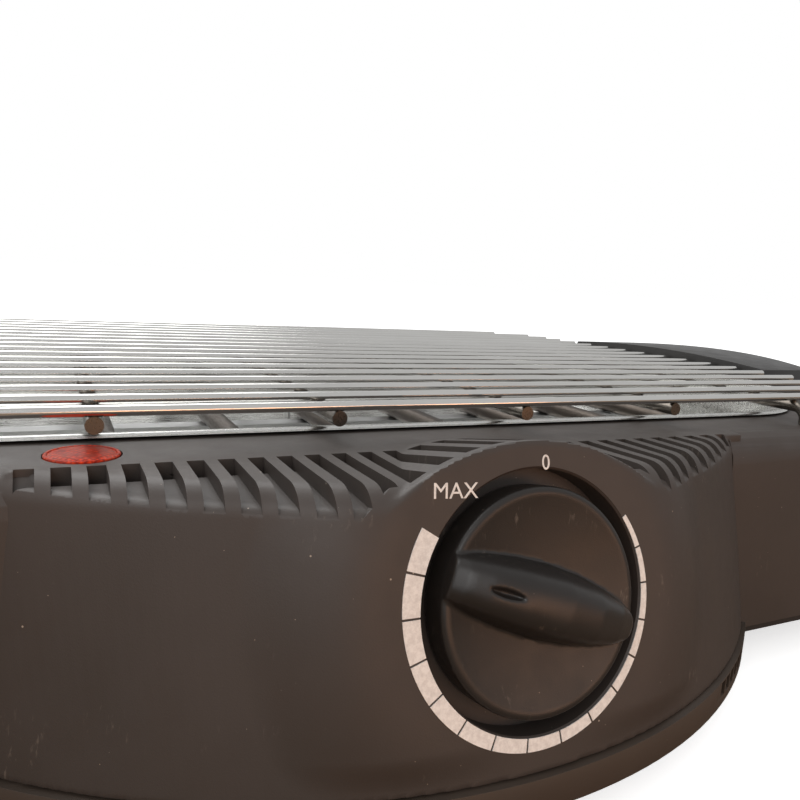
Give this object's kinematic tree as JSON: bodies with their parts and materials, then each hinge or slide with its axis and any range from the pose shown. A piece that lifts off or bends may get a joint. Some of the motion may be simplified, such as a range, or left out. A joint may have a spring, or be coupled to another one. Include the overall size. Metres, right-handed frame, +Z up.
{
  "type": "electric tabletop grill",
  "caption": "Electric tabletop grill with lift-off wire grate, heating element over a reflector pan, front thermostat dial and end handles.",
  "frame": {"origin": "middle of the overall box at the height of the table", "axes": "+Z up, -Y towards the user at the control box, +X to the user's right"},
  "size_m": [0.502, 0.3418, 0.0925],
  "materials": {
    "housing_plastic": "fine moulded grain, dark warm grey",
    "base_plastic": "moulded, unpainted",
    "bright_sheet": "bright rolled sheet",
    "element_sheath": "oxidised dark metal sheath",
    "ceramic": "unglazed steatite",
    "terminal_brass": "plain",
    "inner_plastic": "moulded thermoset",
    "screw_steel": "zinc plated",
    "knob_plastic": "satin moulded",
    "print_white": "pad-printed ink",
    "red_lens": "clear red with a prismatic underside",
    "neon_glass": "clear glass",
    "black_rubber": "moulded",
    "handle_plastic": "satin moulded",
    "grate_chrome": "polished plated wire"
  },
  "bodies": {
    "base": {"housing": "housing_plastic", "box_cover": "housing_plastic", "base_plate": "base_plastic", "reflector_pan": "bright_sheet", "heat_shield": "bright_sheet", "heating_element": "element_sheath", "element_bushes": "ceramic", "element_terminals": "terminal_brass", "element_rests": "bright_sheet", "thermal_cutout": "inner_plastic", "thermostat": "inner_plastic", "thermostat_bracket": "bright_sheet", "thermostat_screws": "screw_steel", "dial_scale": "print_white", "indicator_lens": "red_lens", "lamp_holder": "inner_plastic", "neon_lamp": "neon_glass", "terminal_block": "inner_plastic", "cord_bush": "black_rubber", "handle_left": "handle_plastic", "handle_right": "handle_plastic", "handle_screws": "screw_steel", "base_screws": "screw_steel", "cover_screws": "screw_steel", "foot_front_left": "black_rubber", "foot_front_right": "black_rubber", "foot_rear_left": "black_rubber", "foot_rear_right": "black_rubber"},
    "knob": {"control_knob": "knob_plastic", "knob_shaft": "screw_steel"},
    "grate": {"grate_bars": "grate_chrome", "grate_rails": "grate_chrome"}
  },
  "joints": [
    {"name": "grate_lift", "type": "slide", "parent": "base", "child": "grate", "axis": [0, 0, 1], "range_m": [0, 0.06]},
    {"name": "knob_turn", "type": "hinge", "parent": "base", "child": "knob", "pos_m": [0, -0.158, 0.054], "axis": [0, -0.9781, 0.2079], "range_deg": [-32, 284]}
  ]
}
